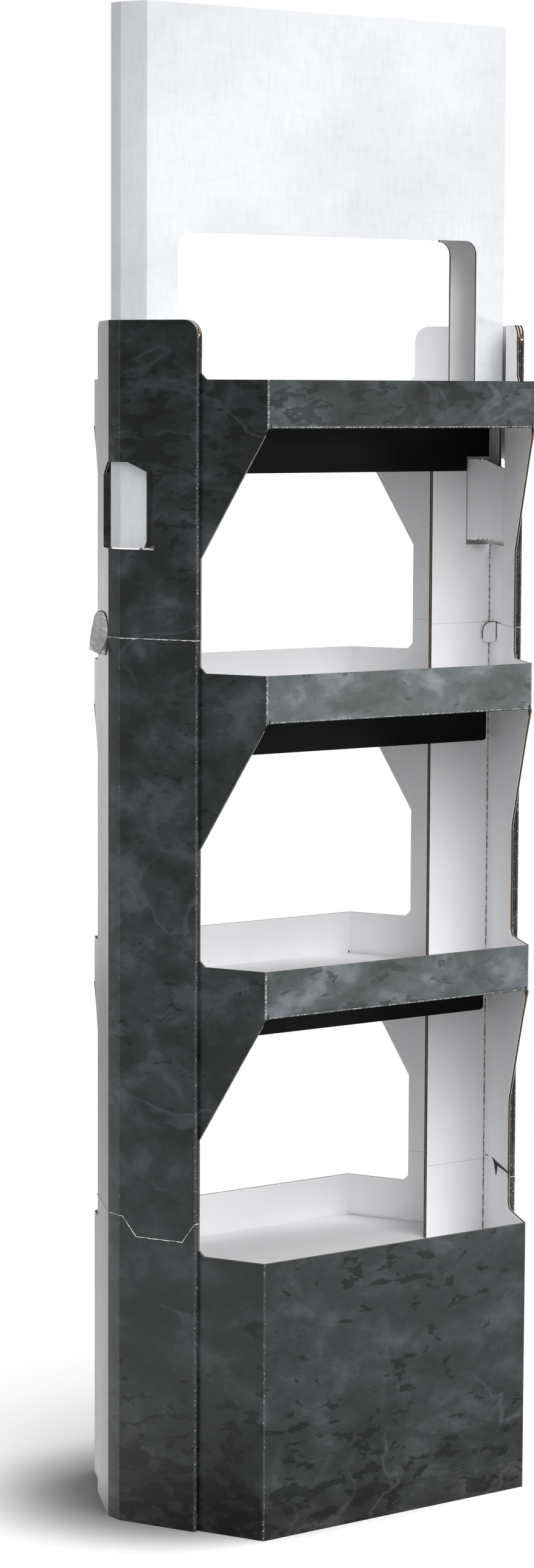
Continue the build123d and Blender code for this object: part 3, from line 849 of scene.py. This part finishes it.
lifted_flap = [
    [(-0.2568, 0.1021, 1.1225), (-0.2640, 0.0873, 1.1240), (-0.2713, 0.0725, 1.1256)],
    [(-0.2565, 0.1054, 1.1201), (-0.2716, 0.0738, 1.1225), (-0.2864, 0.0421, 1.1249)],
    [(-0.2579, 0.1071, 1.1170), (-0.2760, 0.0676, 1.1192), (-0.2935, 0.0277, 1.1214)],
    [(-0.2589, 0.1077, 1.1109), (-0.2782, 0.0648, 1.1134), (-0.2966, 0.0214, 1.1158)],
    [(-0.2604, 0.1084, 1.1034), (-0.2811, 0.0609, 1.1062), (-0.3008, 0.0129, 1.1090)],
    [(-0.2623, 0.1082, 1.0959), (-0.2822, 0.0609, 1.0987), (-0.3008, 0.0129, 1.1016)],
    [(-0.2633, 0.1087, 1.0891), (-0.2829, 0.0615, 1.0923), (-0.3009, 0.0136, 1.0956)],
    [(-0.2643, 0.1081, 1.0823), (-0.2842, 0.0627, 1.0844), (-0.3032, 0.0169, 1.0866)],
    [(-0.2657, 0.1066, 1.0749), (-0.2865, 0.0639, 1.0751), (-0.3071, 0.0211, 1.0753)],
]
flap_crease = [
    [(-0.2569, 0.1055, 1.1189), (-0.2569, 0.1055, 1.1180)],
    [(-0.2570, 0.1023, 1.1221), (-0.2570, 0.1023, 1.1212)],
    [(-0.2716, 0.0727, 1.1252), (-0.2716, 0.0727, 1.1243)],
    [(-0.2866, 0.0422, 1.1245), (-0.2866, 0.0422, 1.1236)],
    [(-0.2937, 0.0279, 1.1210), (-0.2937, 0.0279, 1.1201)],
]
torn_tab = [
    [(0.2811, 0.0050, 1.0872), (0.2813, 0.0050, 1.0752)],
    [(0.2836, 0.0050, 1.0919), (0.2839, 0.0050, 1.0720)],
    [(0.2877, 0.0050, 1.0949), (0.2880, 0.0050, 1.0702)],
    [(0.2912, 0.0050, 1.0960), (0.2916, 0.0050, 1.0697)],
    [(0.2917, 0.0012, 1.0970), (0.2917, 0.0007, 1.0703)],
    [(0.2917, -0.0045, 1.0973), (0.2917, -0.0049, 1.0723)],
    [(0.2819, -0.0208, 1.0976), (0.2814, -0.0217, 1.0751)],
]
tab_edge = [
    [(0.2802, 0.0043, 1.0753), (0.2815, 0.0043, 1.0753)],
    [(0.2800, 0.0043, 1.0873), (0.2814, 0.0043, 1.0868)],
    [(0.2825, 0.0043, 1.0923), (0.2837, 0.0043, 1.0916)],
    [(0.2866, 0.0043, 1.0958), (0.2874, 0.0043, 1.0948)],
    [(0.2907, 0.0043, 1.0971), (0.2906, 0.0043, 1.0960)],
    [(0.2910, -0.0003, 1.0980), (0.2910, -0.0003, 1.0969)],
    [(0.2910, -0.0053, 1.0983), (0.2910, -0.0053, 1.0972)],
    [(0.2800, -0.0232, 1.0988), (0.2799, -0.0232, 1.0977)],
    [(0.2676, -0.0482, 1.0987), (0.2676, -0.0482, 1.0978)],
]
# a thin black strip in the lower right joint's gap: painted shade
gap_shade_strip = [
    [(0.2927, 0.0028, 0.3910), (0.2927, 0.0028, 0.3899)],
    [(0.2927, -0.0081, 0.3903), (0.2927, -0.0081, 0.3893)],
    [(0.2778, -0.0313, 0.3931), (0.2778, -0.0313, 0.3919)],
    [(0.2739, -0.0393, 0.3928), (0.2737, -0.0396, 0.3864)],
    [(0.2699, -0.0473, 0.3918), (0.2695, -0.0481, 0.3737)],
    [(0.2668, -0.0536, 0.3920), (0.2667, -0.0538, 0.3884)],
    [(0.2481, -0.0913, 0.3921), (0.2481, -0.0914, 0.3897)],
    [(0.2374, -0.1130, 0.3922), (0.2374, -0.1131, 0.3903)],
]
for name, rows, thickness, away, materials in (
    ("upper_sleeve_left_lifted_flap", lifted_flap, flap_thickness, from_left_tip, (slate, core)),
    ("upper_sleeve_left_flap_crease", flap_crease, crease_thickness, from_left_tip, (core, core)),
    ("upper_joint_right_torn_tab", torn_tab, tab_thickness, from_right_joint, (liner, paper)),
    ("upper_joint_right_tab_edge", tab_edge, crease_thickness, from_right_joint, (core, core)),
    # painted shade in the lower right joint's gap
    ("lower_joint_right_gap_painted_shade", gap_shade_strip, gap_shade_thickness, from_gap_shade, (black, black)),
):
    loose_paper(name, rows, thickness, away, materials)

# Studio. A white floor that keeps the stand's soft shadow, with two soft patches of painted shade
# beside it, and a white surround. Behind the stand the floor glows in reflections only. Three wide
# soft suns shine from the front, the left and above, a softbox stands in front on the right, and a
# large one behind lights the inner sides.

floor_half = 30.0
floor_light = 0.4       # the far floor's brightness to all but the camera
floor_lift = 0.15       # what the near floor gives off itself, to the camera
floor_albedo = 0.5      # the near floor's colour to all but the camera
floor_fade = (0.5, 1.3)  # the floor turns plain white over this distance from the middle
# behind the stand the floor glows to glossy rays only, brighter than white: painted light for the
# end faces to mirror
sweep_slant = 0.7       # the sweep lies behind and left of a line with this slope
sweep_edge = (0.05, 0.35)  # it comes in over this distance past the line
sweep_levels = [((1.0, 4.0), (1.62, 0.86)), ((10.0, 18.0), (0.0, 0.7))]  # metres off, brightness
# two soft patches of painted shade on the floor: centre, half widths, brightness at the core
painted_shades = [((-0.19, 0.05, 0), (0.3, 0.3, 1), 0.33), ((0, 0, 0), (0.41, 0.26, 1), 0.56)]
shade_core = 0.35       # a shade is darkest within this share of its half widths
surround_light = 0.3    # the surround's brightness to all but the camera


def map_range(nodes, links, value, given, result=(0.0, 1.0), interpolation="LINEAR"):
    """A value carried over from one range to another, and held at its ends."""
    node = nodes.new("ShaderNodeMapRange")
    node.interpolation_type = interpolation
    for label, number in zip(("From Min", "From Max", "To Min", "To Max"), (*given, *result)):
        node.inputs[label].default_value = number
    links.new(value, node.inputs["Value"])
    return node.outputs["Result"]


def vector_calc(nodes, links, operation, vector, other=(0, 0, 0)):
    """The result of a Vector Math node on a socket and a plain vector."""
    node = nodes.new("ShaderNodeVectorMath")
    node.operation = operation
    links.new(vector, node.inputs[0])
    node.inputs[1].default_value = other
    return node.outputs["Value" if operation == "LENGTH" else "Vector"]


def shade(nodes, links, centre, reach, depth):
    """A soft dark patch of painted shade on the floor, an ellipse with this centre, these half
    widths and this brightness at its core."""
    off = vector_calc(nodes, links, "SUBTRACT", object_space(nodes, links), centre)
    spread = vector_calc(nodes, links, "DIVIDE", off, reach)
    away = vector_calc(nodes, links, "LENGTH", spread)
    return map_range(nodes, links, away, (shade_core, 1.0), (depth, 1.0), "SMOOTHSTEP")


def floor_material():
    """White floor near the stand, plain white far from it, so that it has no far edge. To the
    camera it is whiter than the light that it throws back on the stand, and near the stand it has
    two soft patches of painted shade. Behind and left of the stand it glows to glossy rays only,
    brighter than white, and the varnish on the narrow end faces mirrors this painted light."""
    material = bpy.data.materials.new("studio floor")
    material.use_nodes = True
    nodes = material.node_tree.nodes
    links = material.node_tree.links
    nodes.clear()
    rays = nodes.new("ShaderNodeLightPath")
    camera_ray = rays.outputs["Is Camera Ray"]
    x, y = axis_of(nodes, links, "X"), axis_of(nodes, links, "Y")
    slanted = calc(nodes, links, "MULTIPLY", x, sweep_slant)
    sweep = map_range(nodes, links, calc(nodes, links, "SUBTRACT", y, slanted), sweep_edge)
    reflected_glow = calc(nodes, links, "MULTIPLY", sweep, rays.outputs["Is Glossy Ray"])
    painted_shading = calc(nodes, links, "MULTIPLY", *(shade(nodes, links, *patch) for patch in painted_shades))
    near = nodes.new("ShaderNodeBsdfDiffuse")
    links.new(mix(nodes, links, camera_ray, grey(floor_albedo), painted_shading), near.inputs["Color"])
    lift = nodes.new("ShaderNodeEmission")
    lifting = calc(nodes, links, "MULTIPLY", painted_shading, floor_lift)
    links.new(calc(nodes, links, "MULTIPLY", camera_ray, lifting), lift.inputs["Strength"])
    lifted = nodes.new("ShaderNodeAddShader")
    links.new(near.outputs["BSDF"], lifted.inputs[0])
    links.new(lift.outputs["Emission"], lifted.inputs[1])
    seen = calc(nodes, links, "MULTIPLY_ADD", camera_ray, 1.0 - floor_light, floor_light)
    far = nodes.new("ShaderNodeEmission")
    distance = vector_calc(nodes, links, "LENGTH", object_space(nodes, links))
    steps = [map_range(nodes, links, distance, *step) for step in sweep_levels]
    above = calc(nodes, links, "SUBTRACT", calc(nodes, links, "ADD", *steps), floor_light)
    strength = calc(nodes, links, "MULTIPLY_ADD", reflected_glow, above, seen)
    links.new(strength, far.inputs["Strength"])
    fade = map_range(nodes, links, distance, floor_fade)
    blend = nodes.new("ShaderNodeMixShader")
    links.new(calc(nodes, links, "MAXIMUM", fade, reflected_glow), blend.inputs["Fac"])
    links.new(lifted.outputs["Shader"], blend.inputs[1])
    links.new(far.outputs["Emission"], blend.inputs[2])
    output = nodes.new("ShaderNodeOutputMaterial")
    links.new(blend.outputs["Shader"], output.inputs["Surface"])
    return material


floor_mesh = bpy.data.meshes.new("studio_floor")
square = [(-1, -1), (1, -1), (1, 1), (-1, 1)]
floor_corners = [(x * floor_half, y * floor_half, 0) for x, y in square]
floor_mesh.from_pydata(floor_corners, [], [(0, 1, 2, 3)])
floor = bpy.data.objects.new("studio_floor", floor_mesh)
scene.collection.objects.link(floor)
floor.data.materials.append(floor_material())

world = bpy.data.worlds.new("studio")
world.use_nodes = True
scene.world = world
sky = world.node_tree.nodes["Background"]
sky.inputs["Color"].default_value = (1, 1, 1, 1)
sky_nodes, sky_links = world.node_tree.nodes, world.node_tree.links
sky_ray = sky_nodes.new("ShaderNodeLightPath").outputs["Is Camera Ray"]
sky_level = map_range(sky_nodes, sky_links, sky_ray, (0.0, 1.0), (surround_light, 1.0))
sky_links.new(sky_level, sky.inputs["Strength"])


def place_lamp(name, data, energy, at, towards):
    """A lamp of this energy at a point, turned to another point."""
    data.energy = energy
    lamp = bpy.data.objects.new(name, data)
    lamp.location = at
    lamp.rotation_euler = (Vector(towards) - Vector(at)).to_track_quat("-Z", "Y").to_euler()
    scene.collection.objects.link(lamp)
    return lamp


def soft_sun(name, energy, degrees, at):
    """A sun this many degrees wide, which shines from the point to the origin."""
    data = bpy.data.lights.new(name, "SUN")
    data.angle = math.radians(degrees)
    return place_lamp(name, data, energy, at, (0, 0, 0))


def soft_area(name, energy, size, at, towards):
    """A rectangular lamp of this width and height."""
    data = bpy.data.lights.new(name, "AREA")
    data.shape = "RECTANGLE"
    data.size, data.size_y = size
    return place_lamp(name, data, energy, at, towards)


soft_sun("main", energy=2.03, degrees=50, at=(-0.3, -3.0, 2.1))
soft_sun("side", energy=0.76, degrees=60, at=(-3.0, -0.6, 0.5)).visible_glossy = False
soft_sun("overhead", energy=1.35, degrees=40, at=(1.1, -0.5, 3.0))
soft_area("softbox", energy=48.0, size=(1.6, 0.8), at=(2.95, -3.8, 0.5), towards=(0, 0, 0.9))
soft_area("backdrop", energy=34.0, size=(4.0, 2.6), at=(1.2, 4.2, 1.1), towards=(0, 0, 1.0))

# Camera. In front of the stand on its left, at the height of the upper tray, looking a little
# down. Its place, angles and focal length are fitted to the stand's corners in the photograph.

image_height = 2576.0
focal_pixels = 6294.8
sensor_height = 36.0
turn = math.radians(35.92)
tilt = math.radians(-5.90)
roll = math.radians(0.26)
camera_data = bpy.data.cameras.new("camera")
camera_data.sensor_fit = "VERTICAL"
camera_data.sensor_height = sensor_height
camera_data.lens = sensor_height * focal_pixels / image_height
ahead = Vector((math.sin(turn) * math.cos(tilt), math.cos(turn) * math.cos(tilt), math.sin(tilt)))
level_right = Vector((math.cos(turn), -math.sin(turn), 0))
level_up = level_right.cross(ahead)
right = level_right * math.cos(roll) + level_up * math.sin(roll)
up = level_up * math.cos(roll) - level_right * math.sin(roll)
camera = bpy.data.objects.new("camera", camera_data)
stand_point = (-2.87592, -3.87471, 1.39917)
rows = [(right[i], up[i], -ahead[i], stand_point[i]) for i in range(3)]
camera.matrix_world = Matrix(rows + [(0, 0, 0, 1)])
scene.collection.objects.link(camera)
scene.camera = camera
scene.view_settings.view_transform = "Standard"
